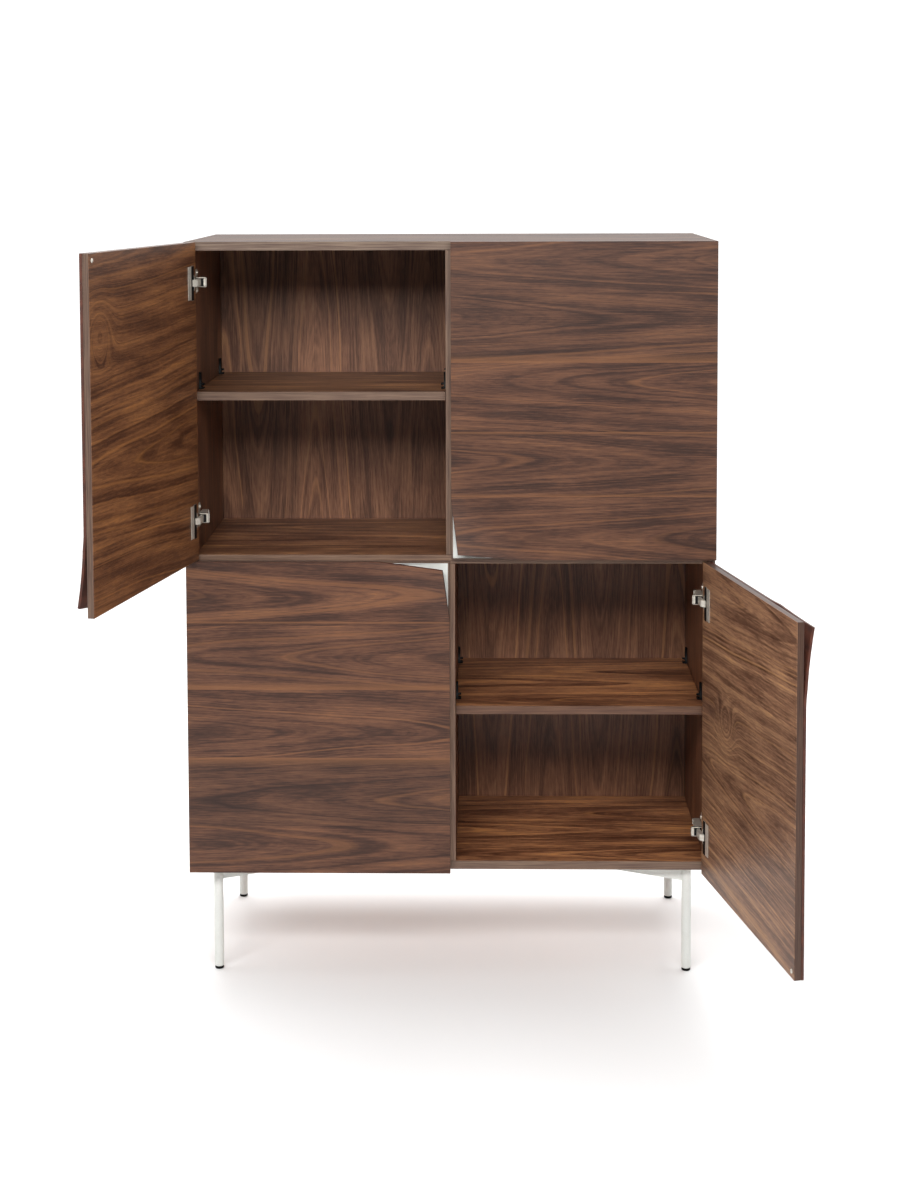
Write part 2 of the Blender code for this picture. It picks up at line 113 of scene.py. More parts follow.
def figure_group():
    """The figure of one sliced leaf, from where a point lies along and across the grain.

    Noise is stretched along the grain, and its scales count the marks in a metre.
    """
    tree = bpy.data.node_groups.new("walnut figure", "ShaderNodeTree")
    for name in ("Along", "Across", "Heart", "Taper", "Eye", "Seed", "Pale", "Bold"):
        tree.interface.new_socket(name, in_out="INPUT", socket_type="NodeSocketFloat")
    tree.interface.new_socket("Color", in_out="OUTPUT", socket_type="NodeSocketColor")
    tree.interface.new_socket("Height", in_out="OUTPUT", socket_type="NodeSocketFloat")
    given = tree.nodes.new("NodeGroupInput").outputs

    def total(*terms):
        """A sum of terms, each a value or a pair of a value and its weight."""
        result = None
        for term in terms:
            if isinstance(term, tuple):
                term = add(tree, "Math", {0: term[0], 1: term[1]}, operation="MULTIPLY")
            if result is not None:
                term = add(tree, "Math", {0: result, 1: term}, operation="ADD")
            result = term
        return result

    def grain_noise(along_scale, across_scale, detail, seed_scale=3.7):
        """Noise stretched along the grain, from -0.5 to 0.5."""
        point = {
            0: total((given["Along"], along_scale)),
            1: total((given["Across"], across_scale)),
            2: total((given["Seed"], seed_scale)),
        }
        inputs = {"Vector": add(tree, "CombineXYZ", point), "Scale": 1.0, "Detail": detail}
        return total(add(tree, "TexNoise", inputs), -0.5)

    # The ring that a point lies in: its distance from the pith, which shortens along the taper,
    # and the slow wander of the rings.
    sway = (grain_noise(2.2, 0.0, 1.0, 9.1), 0.024)
    off_heart = total(given["Across"], (given["Heart"], -1.0), sway)
    squared = total((off_heart, off_heart), CUT_FROM_PITH**2)
    from_pith = add(tree, "Math", {0: squared, 1: 0.5}, operation="POWER")
    wander = (grain_noise(2.2, 9.0, 2.0), 0.017)
    shiver = (grain_noise(20.0, 60.0, 2.0, 2.9), 0.0016)
    ring = total(from_pith, (given["Along"], given["Taper"]), given["Eye"], wander, shiver)

    def ring_noise(per_metre, detail, seed_scale):
        """Lines that follow the rings, from -0.5 to 0.5."""
        where = total((ring, per_metre), (given["Seed"], seed_scale))
        inputs = {"W": where, "Scale": 1.0, "Detail": detail, "Roughness": 0.6}
        return total(add(tree, "TexNoise", inputs, noise_dimensions="1D"), -0.5)

    # Bands are 14 mm apart and growth rings 3 mm, the fibres 2 mm, and the pores two thirds of a
    # millimetre, which is coarser than in real walnut, so that they show.
    bands = ring_noise(70.0, 2.0, 5.3)
    rings = ring_noise(300.0, 3.0, 17.0)
    pale_rings = {0: ring_noise(120.0, 1.5, 29.0), 1: 0.14, 2: 0.24}
    pale_lines = add(tree, "MapRange", pale_rings, **SMOOTH)
    dark_rings = {0: ring_noise(170.0, 2.0, 43.0), 1: 0.11, 2: 0.25}
    dark_lines = add(tree, "MapRange", dark_rings, **SMOOTH)
    cloud = grain_noise(5.5, 24.0, 3.0, 1.3)
    fibre = grain_noise(9.0, 480.0, 3.0)
    fleck = grain_noise(55.0, 700.0, 2.0, 6.1)
    pits = {0: grain_noise(90.0, 1500.0, 1.0, 7.7), 1: 0.12, 2: 0.24}
    pores = add(tree, "MapRange", pits, **SMOOTH)

    contrast = total((bands, 0.48), (rings, 0.42), (cloud, 0.68), (fibre, 0.52), (fleck, 0.42))
    tone = total(0.5, (contrast, given["Bold"]))
    stops = [
        (0.20, WALNUT_DARK),
        (0.39, WALNUT_DEEP),
        (0.52, WALNUT_MID),
        (0.68, WALNUT_LIGHT),
        (0.86, WALNUT_PALE),
    ]
    colour = add(tree, "ValToRGB", {0: tone}, stops=stops)
    for mask, amount, shade in (
        (pale_lines, 0.40, WALNUT_PALE),
        (dark_lines, 0.38, WALNUT_DARK),
        (given["Pale"], 0.60, WALNUT_PALE),
        (pores, 0.30, WALNUT_DARK),
    ):
        layer = {0: total((mask, amount)), 6: colour, 7: linear(shade)}
        colour = add(tree, "Mix", layer, **OVERLAY)
    height = total((rings, 0.4), (pores, -1.0), (fibre, 0.3))
    result = tree.nodes.new("NodeGroupOutput")
    tree.links.new(colour, result.inputs["Color"])
    tree.links.new(height, result.inputs["Height"])
    return tree


FIGURE = figure_group()


def veneer(tree, along, across, seed, toner, start=0.0, leaf=LEAF_WIDTH, pale_bands=(), knot=None,
           bold=1.0):
    """The colour and height of a veneered face, laid up in leaves across the grain.

    The tint is multiplied on the figure and given as the colour that it gives to white; where it
    makes one board lighter or darker than another, it paints light and shade as well as tint. A
    pale band is a seam's place and how far the sapwood fades from it. A knot is its place along and
    across the grain and its reach.
    """
    shifted = add(tree, "Math", {0: across, 1: start}, operation="SUBTRACT")
    count = add(tree, "Math", {0: shifted, 1: leaf}, operation="DIVIDE")
    index = add(tree, "Math", {0: count}, operation="FLOOR")
    inside = add(tree, "Math", {0: count}, operation="FRACT")
    in_leaf = add(tree, "Math", {0: inside, 1: 0.5}, operation="SUBTRACT")
    across_leaf = add(tree, "Math", {0: in_leaf, 1: leaf}, operation="MULTIPLY")
    key = add(tree, "Math", {0: index, 1: seed}, operation="ADD")
    chance = add(tree, "TexWhiteNoise", {"W": key}, out="Color", noise_dimensions="1D")
    parts = add(tree, "SeparateColor", {0: chance}).node.outputs
    off_centre = {0: parts[0], 1: 0.0, 2: 1.0, 3: -0.2 * leaf, 4: 0.2 * leaf}
    heart = add(tree, "MapRange", off_centre, **SMOOTH)
    # Every second leaf is turned end for end.
    half_key = add(tree, "Math", {0: key, 1: 0.5}, operation="MULTIPLY")
    turned = add(tree, "Math", {0: half_key}, operation="FRACT")
    either_way = {0: turned, 1: 0.0, 2: 0.5, 3: LOG_TAPER, 4: -LOG_TAPER}
    taper = add(tree, "MapRange", either_way, **SMOOTH)
    leaf_seed = add(tree, "Math", {0: parts[2], 1: LEAF_KINDS}, operation="MULTIPLY")
    pale = 0.0
    for seam, reach in pale_bands:
        sapwood = {0: across, 1: seam, 2: seam + reach, 3: 1.0, 4: 0.0}
        fading = add(tree, "MapRange", sapwood, **SMOOTH)
        sense = "GREATER_THAN" if reach > 0 else "LESS_THAN"
        beyond = add(tree, "Math", {0: across, 1: seam}, operation=sense)
        band = add(tree, "Math", {0: fading, 1: beyond}, operation="MULTIPLY")
        pale = add(tree, "Math", {0: band, 1: pale}, operation="MAXIMUM")
    swirl = 0.0
    if knot:
        # A knot just under the face pushes the rings out around it.
        centre = (knot[0], knot[1], 0.0)
        reach = knot[2]
        place = add(tree, "CombineXYZ", {0: along, 1: across})
        off = add(tree, "VectorMath", {0: place, 1: centre}, operation="DISTANCE", out="Value")
        near = add(tree, "Math", {0: off, 1: 1 / reach}, operation="MULTIPLY")
        bell = add(tree, "Math", {0: near, 1: near}, operation="MULTIPLY")
        fall = add(tree, "Math", {0: bell, 1: -0.5}, operation="MULTIPLY")
        rise = add(tree, "Math", {0: fall}, operation="EXPONENT")
        swirl = add(tree, "Math", {0: rise, 1: 4.0 * reach}, operation="MULTIPLY")
    values = {
        "Along": along,
        "Across": across_leaf,
        "Heart": heart,
        "Taper": taper,
        "Eye": swirl,
        "Seed": leaf_seed,
        "Pale": pale,
        "Bold": bold,
    }
    figure = add(tree, "Group", values, node_tree=FIGURE).node.outputs
    # Leaves differ a little in how light they are.
    shades = {0: parts[1], 1: 0.0, 2: 1.0, 3: 0.88, 4: 1.12}
    lightness = add(tree, "MapRange", shades, **SMOOTH)
    varied = add(tree, "HueSaturation", {"Value": lightness, "Color": figure["Color"]})
    # The tint multiplies the colour; a lighter or darker tint for one board paints light and shade
    # on it.
    finished_colour = add(tree, "Mix", {0: 1.0, 6: varied, 7: linear(toner)}, **TINT_AND_LIGHT_MIX)
    return finished_colour, figure["Height"]


# Lipping is cut along the grain, so it shows only fine straight lines, 1.6 mm apart here.
LIPPING_LIGHT = "a58f7d"
LIPPING_DARK = "79645a"
LIPPING_LINES = 620.0
LIPPING_STREAKS = 14.0


def edge_band(tree, point, thickness_axis, toner):
    """The colour of a board's lipped edge, with lines that follow it."""
    scales = [LIPPING_STREAKS] * 3
    scales[thickness_axis] = LIPPING_LINES
    stretched = add(tree, "VectorMath", {0: point, 1: scales}, operation="MULTIPLY")
    lines = add(tree, "TexNoise", {"Vector": stretched, "Scale": 1.0, "Detail": 3.0})
    lipping = add(tree, "ValToRGB", {0: lines}, stops=[(0.34, LIPPING_DARK), (0.66, LIPPING_LIGHT)])
    return add(tree, "Mix", {0: 1.0, 6: lipping, 7: linear(toner)}, **TINT_AND_LIGHT_MIX)


def new_material(name):
    """An empty material and its node tree."""
    made = bpy.data.materials.new(name)
    made.use_nodes = True
    made.node_tree.nodes.remove(made.node_tree.nodes["Principled BSDF"])
    return made, made.node_tree


def surface(tree, colour, roughness, height=None, relief=0.0, finish=None):
    """Puts the finished surface on the material's output, with its relief in metres."""
    inputs = {"Base Color": colour, "Roughness": roughness, **(finish or {})}
    if height is not None:
        bump = {"Strength": 1.0, "Distance": relief, "Height": height}
        inputs["Normal"] = add(tree, "Bump", bump)
    output = next(n for n in tree.nodes if n.type == "OUTPUT_MATERIAL")
    tree.links.new(add(tree, "BsdfPrincipled", inputs), output.inputs["Surface"])


# ---------------------------------------------------------------------------------------------
# Carcass. Four outer boards meet in mitres, and a middle board and two dividers make the four
# compartments. Faces are veneered and every front edge is lipped with straight-grained walnut.

ARRIS_DEPTH = 0.0005
VENEER_RELIEF = 0.00008
LACQUER_ROUGHNESS = 0.32
X_AXIS, Y_AXIS, Z_AXIS = 0, 1, 2
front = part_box("side_left")[0].y


def board_material(name, along, across, thickness, seed, toner, leaf=LEAF_WIDTH, start=0.0,
                   front_at=front, lip_tint_and_light="c0b4ac", bold=1.0, coat=0.12, specular=0.35):
    """Veneer along one axis, with a lipped front edge, under a thin coat of satin lacquer."""
    made, tree = new_material(name)
    point = add(tree, "TexCoord", out="Object")
    axes = add(tree, "SeparateXYZ", {0: point}).node.outputs
    colour, height = veneer(tree, axes[along], axes[across], seed, toner, start, leaf, bold=bold)
    lipping = edge_band(tree, point, thickness, lip_tint_and_light)
    edge_depth = {0: axes[Y_AXIS], 1: front_at + ARRIS_DEPTH}
    at_edge = add(tree, "Math", edge_depth, operation="LESS_THAN")
    board = add(tree, "Mix", {0: at_edge, 6: colour, 7: lipping}, **OVERLAY)
    lacquer = {
        "Coat Weight": coat,
        "Coat Roughness": LACQUER_ROUGHNESS,
        "Specular IOR Level": specular,
    }
    surface(tree, board, 0.46, height, VENEER_RELIEF, lacquer)
    return made


# Each board's toner sets how light it is as well as its tint. Besides a real difference in tone,
# the lighter floors, shelves and back and the darker, greyer top are painted light and shade, and
# so are the lip toners that differ from board to board.
SIDE_TONER = "bb9a80"
BACK_TINT_AND_LIGHT = "d8c0a8"
TOP_TINT_AND_SHADE = "928980"
UPPER_BOARD_TINT_AND_LIGHT = "dcc0a0"
LOWER_BOARD_TINT_AND_LIGHT = "f0cca4"
BACK_LEAF = 0.118
BACK_FIRST_SEAM = 0.03
NO_LIPPING = -9.0
finishes = {
    "side_left": board_material("walnut, left side", Z_AXIS, Y_AXIS, X_AXIS, 11, SIDE_TONER),
    "side_right": board_material("walnut, right side", Z_AXIS, Y_AXIS, X_AXIS, 23, SIDE_TONER),
    "top_board": board_material("walnut, top", X_AXIS, Y_AXIS, Z_AXIS, 5, TOP_TINT_AND_SHADE,
                                lip_tint_and_light="d0d0d1", coat=0.0, specular=0.12),
    "bottom_board": board_material("walnut, bottom", X_AXIS, Y_AXIS, Z_AXIS, 31,
                                   LOWER_BOARD_TINT_AND_LIGHT, bold=1.5),
    "middle_board": board_material("walnut, middle board", X_AXIS, Y_AXIS, Z_AXIS, 47,
                                   UPPER_BOARD_TINT_AND_LIGHT, lip_tint_and_light="d8c9bf", bold=1.3),
    "divider_upper": board_material("walnut, upper divider", Z_AXIS, Y_AXIS, X_AXIS, 53,
                                    SIDE_TONER),
    "divider_lower": board_material("walnut, lower divider", Z_AXIS, Y_AXIS, X_AXIS, 59,
                                    SIDE_TONER, lip_tint_and_light="d0bfb4"),
    "back_panel": board_material("walnut, back", Z_AXIS, X_AXIS, Y_AXIS, 67, BACK_TINT_AND_LIGHT,
                                 BACK_LEAF, BACK_FIRST_SEAM, NO_LIPPING, bold=0.75),
}
shelf_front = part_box("shelf_upper_left")[0].y
for number, name in enumerate(n for n in sorted(nodes) if n.startswith("shelf_")):
    toner, lip_tint_and_light = UPPER_BOARD_TINT_AND_LIGHT, "c0b4ac"
    if "lower" in name:
        toner, lip_tint_and_light = LOWER_BOARD_TINT_AND_LIGHT, "ae9281"
    finishes[name] = board_material(
        f"walnut, {name.replace('_', ' ')}", X_AXIS, Y_AXIS, Z_AXIS, 71 + 6 * number, toner,
        front_at=shelf_front, lip_tint_and_light=lip_tint_and_light, bold=1.5,
    )
for name, finish in finishes.items():
    nodes[name].material_slots[0].material = finish


# ---------------------------------------------------------------------------------------------
# Door panels. Each is a 12 mm board, veneered inside, lipped on its edges and lacquered white on
# its front. The lacquer is a smooth satin white, a little grey. It shows only in the finger
# pocket behind the peeled corner of the skin.

DOOR_WIDTH = 0.498
DOOR_HEIGHT = 0.600
PIVOT_INSET = 0.0075
PIVOT_TO_INNER_FACE = 0.016
PANEL = 0.012
OPENED = math.radians(101.5)
OPEN_DOORS = ("upper_left", "lower_right")
WHITE_LACQUER = "dcddd8"
DUSTY_LACQUER = "d6d7d2"
LACQUER_FILM = 0.00015
POCKET_RIM = 0.003
POCKET_DEPTH = 0.0055
PANEL_LEAF = 0.3
PANEL_FIRST_SEAM = 0.02
INNER_SEEDS = {"upper_left": 101, "upper_right": 113, "lower_left": 127, "lower_right": 139}
# The inner faces differ in tint and also in painted light: the upper left face is made darker and
# the lower right one lighter, as each is lit.
INNER_TINTS_AND_LIGHT = {
    "upper_left": "ae8f6a",
    "upper_right": "c8b092",
    "lower_left": "c8b092",
    "lower_right": "d6c6ae",
}
EDGE_TONER = "a89c96"
# The lower right panel's lipping is made darker than the others', which is painted shade.
EDGE_TINTS_AND_SHADE = {"lower_right": "856e62"}
PANEL_RELIEF = 0.00006
KNOTS = {"upper_left": (0.450, 1.278, 0.030), "lower_right": (-0.130, 0.532, 0.026)}

pivots = {
    joint["child"].replace("door_", ""): Vector(joint["pos_m"]) for joint in frame["joints"]
}


def door_sign(door):
    """The side that a door hangs on: -1 for left and 1 for right."""
    return -1 if door.endswith("left") else 1


def door_angle(door):
    """How far a door stands open at rest."""
    return door_sign(door) * OPENED if door in OPEN_DOORS else 0.0


def closed_point(tree, door):
    """A point of the door measured from its hinge axis, as when the door is closed."""
    placing = {
        "Vector": add(tree, "TexCoord", out="Object"),
        "Location": (pivots[door].x, pivots[door].y, 0.0),
        "Rotation": (0.0, 0.0, door_angle(door)),
    }
    return add(tree, "Mapping", placing, vector_type="TEXTURE")


def panel_material(door):
    """Veneer on the inner face, lipping on the edges, and white lacquer in front."""
    made, tree = new_material(f"walnut and white lacquer, {door.replace('_', ' ')} panel")
    point = closed_point(tree, door)
    axes = add(tree, "SeparateXYZ", {0: point}).node.outputs
    inner, inner_height = veneer(
        tree, axes[X_AXIS], axes[Z_AXIS], INNER_SEEDS[door], INNER_TINTS_AND_LIGHT[door],
        PANEL_FIRST_SEAM, PANEL_LEAF, knot=KNOTS.get(door),
    )
    lipping = edge_band(tree, point, Y_AXIS, EDGE_TINTS_AND_SHADE.get(door, EDGE_TONER))
    inner_skin = {0: axes[Y_AXIS], 1: PIVOT_TO_INNER_FACE - ARRIS_DEPTH}
    on_inner = add(tree, "Math", inner_skin, operation="GREATER_THAN")
    colour = add(tree, "Mix", {0: on_inner, 6: lipping, 7: inner}, **OVERLAY)

    # The white lies on the flat outer face, and in the pocket inside the panel's rim.
    outer_face = PIVOT_TO_INNER_FACE - PANEL
    front_skin = {0: axes[Y_AXIS], 1: outer_face + LACQUER_FILM}
    on_front = add(tree, "Math", front_skin, operation="LESS_THAN")
    inboard = add(tree, "Math", {0: axes[X_AXIS], 1: -door_sign(door)}, operation="MULTIPLY")
    low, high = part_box(f"door_panel_{door}")
    limits = (
        (axes[Y_AXIS], "LESS_THAN", outer_face + POCKET_DEPTH),
        (inboard, "LESS_THAN", DOOR_WIDTH - PIVOT_INSET - POCKET_RIM),
        (inboard, "GREATER_THAN", POCKET_RIM - PIVOT_INSET),
        (axes[Z_AXIS], "GREATER_THAN", low.z + POCKET_RIM),
        (axes[Z_AXIS], "LESS_THAN", high.z - POCKET_RIM),
    )
    pocket = 1.0
    for place, sense, limit in limits:
        within = add(tree, "Math", {0: place, 1: limit}, operation=sense)
        pocket = add(tree, "Math", {0: within, 1: pocket}, operation="MULTIPLY")
    white = add(tree, "Math", {0: on_front, 1: pocket}, operation="MAXIMUM")
    dust = add(tree, "TexNoise", {"Vector": point, "Scale": 90.0, "Detail": 3.0})
    lacquer_stops = [(0.3, DUSTY_LACQUER), (0.7, WHITE_LACQUER)]
    lacquer = add(tree, "ValToRGB", {0: dust}, stops=lacquer_stops)
    panel = add(tree, "Mix", {0: white, 6: colour, 7: lacquer}, **OVERLAY)
    satin = {"Coat Weight": 0.12, "Coat Roughness": 0.30, "Specular IOR Level": 0.35}
    surface(tree, panel, 0.44, inner_height, PANEL_RELIEF, satin)
    return made


for door in pivots:
    nodes[f"door_panel_{door}"].material_slots[0].material = panel_material(door)


# ---------------------------------------------------------------------------------------------
# Door skins. Thin walnut plywood is glued to the panel's front, with one corner cut back, bent
# forwards and left free as the grip. Its face is oiled to a dull satin. Its edge and its back are
# stained a matt reddish brown, made as dark as the back looks in the shaded gap behind the peel,
# so that their colour is partly painted shade.

SKIN = 0.0047
SKIN_GAP = 0.0003
PEEL_ALONG_WIDTH = 0.131
PEEL_ALONG_HEIGHT = 0.113
PEEL_RETREAT = 0.013
PEEL_LIFT = 0.0185
PEEL_POWER = 1.6
BENT_ALONG_WIDTH = 0.170
BENT_ALONG_HEIGHT = 0.140
FOLD_ALONG_WIDTH = 0.150
FOLD_ALONG_HEIGHT = 0.120
SKIN_GRID = 56
FLAT_GRID = 8
SKIN_SEEDS = {"upper_left": 211, "upper_right": 202, "lower_left": 229, "lower_right": 241}
SKIN_TONER = "947a66"
SKIN_LEAF = 0.1285
FIRST_SEAM = {"upper": 0.9290, "lower": 0.2985}
SKIN_PALE_BANDS = {
    "upper_right": [(1.183, 0.020), (1.053, -0.007), (0.930, 0.008)],
    "lower_left": [(0.561, 0.018), (0.430, -0.022), (0.692, -0.006)],
}


def peel_lift(from_edge, from_end):
    """How far the skin stands forwards, by its distance from the free edge and the end."""
    across = (from_edge - PEEL_RETREAT) / FOLD_ALONG_WIDTH
    along = (from_end - PEEL_RETREAT) / FOLD_ALONG_HEIGHT
    return PEEL_LIFT * max(0.0, 1.0 - across - along) ** PEEL_POWER


def grid_steps(length, bent):
    """Positions from the peeled corner, close together where the skin bends."""
    near = [bent * i / SKIN_GRID for i in range(SKIN_GRID)]
    return near + [bent + (length - bent) * i / FLAT_GRID for i in range(FLAT_GRID + 1)]


def skin_sheet(door):
    """The skin's front face in the closed door's place, cut to its peeled outline."""
    sign, level = door_sign(door), door.split("_")[0]
    low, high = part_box(f"door_panel_{door}")
    pivot = pivots[door]
    shape = bmesh.new()
    uv = shape.loops.layers.uv.new("veneer")
    across = grid_steps(DOOR_WIDTH, BENT_ALONG_WIDTH)
    up = grid_steps(DOOR_HEIGHT, BENT_ALONG_HEIGHT)
    grid = [[shape.verts.new((s, 0.0, t)) for t in up] for s in across]
    for i in range(len(across) - 1):
        for j in range(len(up) - 1):
            shape.faces.new((grid[i][j], grid[i + 1][j], grid[i + 1][j + 1], grid[i][j + 1]))
    corner = Vector((PEEL_RETREAT, 0.0, PEEL_RETREAT))
    bottom_end = Vector((PEEL_ALONG_WIDTH, 0.0, 0.0))
    side_end = Vector((0.0, 0.0, PEEL_ALONG_HEIGHT))
    for start, end in ((corner, bottom_end), (side_end, corner)):
        direction = end - start
        normal = Vector((direction.z, 0.0, -direction.x))
        everything = shape.verts[:] + shape.edges[:] + shape.faces[:]
        bmesh.ops.bisect_plane(shape, geom=everything, plane_co=start, plane_no=normal)
    slope = PEEL_RETREAT / (PEEL_ALONG_WIDTH - PEEL_RETREAT)
    side_slope = PEEL_RETREAT / (PEEL_ALONG_HEIGHT - PEEL_RETREAT)
    cut = []
    for face in shape.faces:
        s, _, t = face.calc_center_median()
        below_cut = t < slope * (PEEL_ALONG_WIDTH - s)
        beside_cut = s < side_slope * (PEEL_ALONG_HEIGHT - t)
        if below_cut or beside_cut:
            cut.append(face)
    bmesh.ops.delete(shape, geom=cut, context="FACES")
    bmesh.ops.remove_doubles(shape, verts=shape.verts, dist=1e-6)
    outer = -(DOOR_WIDTH - PIVOT_INSET)
    front_plane = PIVOT_TO_INNER_FACE - PANEL - SKIN_GAP / 2 - SKIN
    for face in shape.faces:
        for loop in face.loops:
            s, _, t = loop.vert.co
            height = high.z - t if level == "lower" else low.z + t
            loop[uv].uv = (sign * (outer + s), height)
    for vert in shape.verts:
        s, _, t = vert.co
        height = high.z - t if level == "lower" else low.z + t
        vert.co = Vector((sign * (outer + s), front_plane - peel_lift(s, t), height))
    for face in shape.faces:
        face.normal_update()
        if face.normal.y > 0:
            face.normal_flip()
    turn = Matrix.Rotation(door_angle(door), 4, "Z")
    place = Matrix.Translation((pivot.x, pivot.y, 0.0)) @ turn
    bmesh.ops.transform(shape, matrix=place, verts=shape.verts)
    mesh = bpy.data.meshes.new(f"skin_{door}")
    shape.to_mesh(mesh)
    shape.free()
    obj = bpy.data.objects.new(f"skin_{door}", mesh)
    bpy.context.scene.collection.objects.link(obj)
    return obj


def skin_material(door):
    """Veneer along the door's width, in the leaves and pale bands of its own sheet."""
    made, tree = new_material(f"walnut, {door.replace('_', ' ')} skin")
    place = add(tree, "TexCoord", out="UV")
    axes = add(tree, "SeparateXYZ", {0: place}).node.outputs
    colour, height = veneer(
        tree, axes[0], axes[1], SKIN_SEEDS[door], SKIN_TONER, FIRST_SEAM[door.split("_")[0]],
        SKIN_LEAF, SKIN_PALE_BANDS.get(door, ()),
    )
    oil = {"Coat Weight": 0.10, "Coat Roughness": 0.34, "Specular IOR Level": 0.35}
    surface(tree, colour, 0.47, height, VENEER_RELIEF, oil)
    return made


plywood, tree = new_material("stained plywood edge and back")
place = add(tree, "TexCoord", out="Object")
plies = add(tree, "TexNoise", {"Vector": place, "Scale": 60.0, "Detail": 4.0})
# The stain is as dark as the skin's back looks in the shaded gap behind the peel, so its dark red
# is partly painted shade.
stain_and_shade = add(tree, "ValToRGB", {0: plies}, stops=[(0.3, "3c1b11"), (0.7, "5a2c1b")])
surface(tree, stain_and_shade, 0.6, plies, 0.0001)


def applied(obj):
    """The object's mesh with its modifiers applied, and the modifiers gone."""
    graph = bpy.context.evaluated_depsgraph_get()
    mesh = bpy.data.meshes.new_from_object(obj.evaluated_get(graph))
    obj.modifiers.clear()
    obj.data = mesh
    return obj


for door in pivots:
    skin = skin_sheet(door)
    skin.data.materials.append(skin_material(door))
    skin.data.materials.append(plywood)
    thicken = skin.modifiers.new("plywood", "SOLIDIFY")
    thicken.thickness = SKIN
    thicken.offset = -1
    thicken.use_even_offset = True
    thicken.material_offset = 1
    thicken.material_offset_rim = 1
    applied(skin)
    skin.data.shade_smooth()
    skin.data.set_sharp_from_angle(angle=math.radians(35))
    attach(skin, f"door_{door}")
    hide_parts(f"door_skin_{door}")


# ---------------------------------------------------------------------------------------------
# Concealed hinges. Each has a pressed cup and flange let into the door, an arm clipped to a plate
# on the side board, and a link that folds between them. The steel is nickel-plated to a satin
# finish, warm and softly bright. A block along the flange's hinge side and the cap at the arm's
# nose are black.

nickel, tree = new_material("nickel-plated steel")
place = add(tree, "TexCoord", out="Object")
wear = add(tree, "TexNoise", {"Vector": place, "Scale": 240.0, "Detail": 3.0})
gloss = add(tree, "MapRange", {0: wear, 1: 0.3, 2: 0.7, 3: 0.36, 4: 0.48}, **SMOOTH)
plating = add(tree, "ValToRGB", {0: wear}, stops=[(0.3, "cfc8bc"), (0.7, "ded8cd")])
surface(tree, plating, gloss, wear, 0.00002, {"Metallic": 0.7})

black_nylon, tree = new_material("black moulded hinge parts")
place = add(tree, "TexCoord", out="Object")
wear = add(tree, "TexNoise", {"Vector": place, "Scale": 300.0, "Detail": 2.0})
dull_black = add(tree, "ValToRGB", {0: wear}, stops=[(0.3, "070606"), (0.7, "0e0c0c")])
surface(tree, dull_black, 0.6, wear, 0.00003, {"Specular IOR Level": 0.2})


def lathe(shape, profile, axis_matrix, sides=32, material=0):
    """Adds a closed turned body: (radius, height) points from one end of its axis to the other."""
    rings = []
    for radius, height in profile:
        if radius < 1e-6:
            rings.append([shape.verts.new(axis_matrix @ Vector((0, 0, height)))])
            continue
        ring = []
        for i in range(sides):
            turn = 2 * math.pi * i / sides
            at = Vector((radius * math.cos(turn), radius * math.sin(turn), height))
            ring.append(shape.verts.new(axis_matrix @ at))
        rings.append(ring)
    for lower, upper in zip(rings, rings[1:]):
        for i in range(sides):
            j = (i + 1) % sides
            if len(lower) == 1:
                corners = (lower[0], upper[j], upper[i])
            elif len(upper) == 1:
                corners = (lower[i], lower[j], upper[0])
            else:
                corners = (lower[i], lower[j], upper[j], upper[i])
            shape.faces.new(corners).material_index = material


def block(shape, low, high, bevel=0.0, material=0):
    """Adds a box between two corners, its edges rounded."""
    low, high = Vector(low), Vector(high)
    made = bmesh.ops.create_cube(shape, size=1.0)["verts"]
    bmesh.ops.scale(shape, vec=high - low, verts=made)
    bmesh.ops.translate(shape, vec=(high + low) / 2, verts=made)
    for face in {f for v in made for f in v.link_faces}:
        face.material_index = material
    if bevel:
        edges = list({e for v in made for e in v.link_edges})
        bmesh.ops.bevel(shape, geom=edges, offset=bevel, segments=2, affect="EDGES")


def slab(shape, outline, low, high, axis, material=0):
    """Adds a flat outline extruded from low to high along the axis named by its number."""
    def at(a, b, c):
        spot = [a, b]
        spot.insert(axis, c)
        return Vector(spot)

    bottom = [shape.verts.new(at(a, b, low)) for a, b in outline]
    top = [shape.verts.new(at(a, b, high)) for a, b in outline]
    shape.faces.new(bottom).material_index = material
    shape.faces.new(top[::-1]).material_index = material
    for i in range(len(outline)):
        j = (i + 1) % len(outline)
        side = shape.faces.new((bottom[i], top[i], top[j], bottom[j]))
        side.material_index = material


def finished(name, shape, matrix, materials, sharp=35):
    """The shape as an object, with its place in its mesh and its faces out."""
    bmesh.ops.transform(shape, matrix=matrix, verts=shape.verts)
    bmesh.ops.recalc_face_normals(shape, faces=shape.faces)
    mesh = bpy.data.meshes.new(name)
    shape.to_mesh(mesh)
    shape.free()
    for material in materials:
        mesh.materials.append(material)
    mesh.shade_smooth()
    mesh.set_sharp_from_angle(angle=math.radians(sharp))
    obj = bpy.data.objects.new(name, mesh)
    bpy.context.scene.collection.objects.link(obj)
    return obj


TO_Y = Matrix.Rotation(math.pi / 2, 4, "X")
TO_X = Matrix.Rotation(math.pi / 2, 4, "Y")
TURN_OVER = Matrix.Rotation(math.pi, 4, "Y")
HINGE_FROM_DOOR_END = 0.076
CUP_INSET = 0.022
CUP_RADIUS = 0.0173
CUP_DEPTH = 0.010
FLANGE_PROUD = 0.0014
FLANGE_HALF_HEIGHT = 0.031
FLANGE_FROM = 0.0043
FLANGE_TO = 0.0205
CUP_WALL = 0.001
CUP_LIP = 0.0015
CUP_SCREW_HEIGHT = 0.0225
BLACK_STRIP_REACH = 0.0102


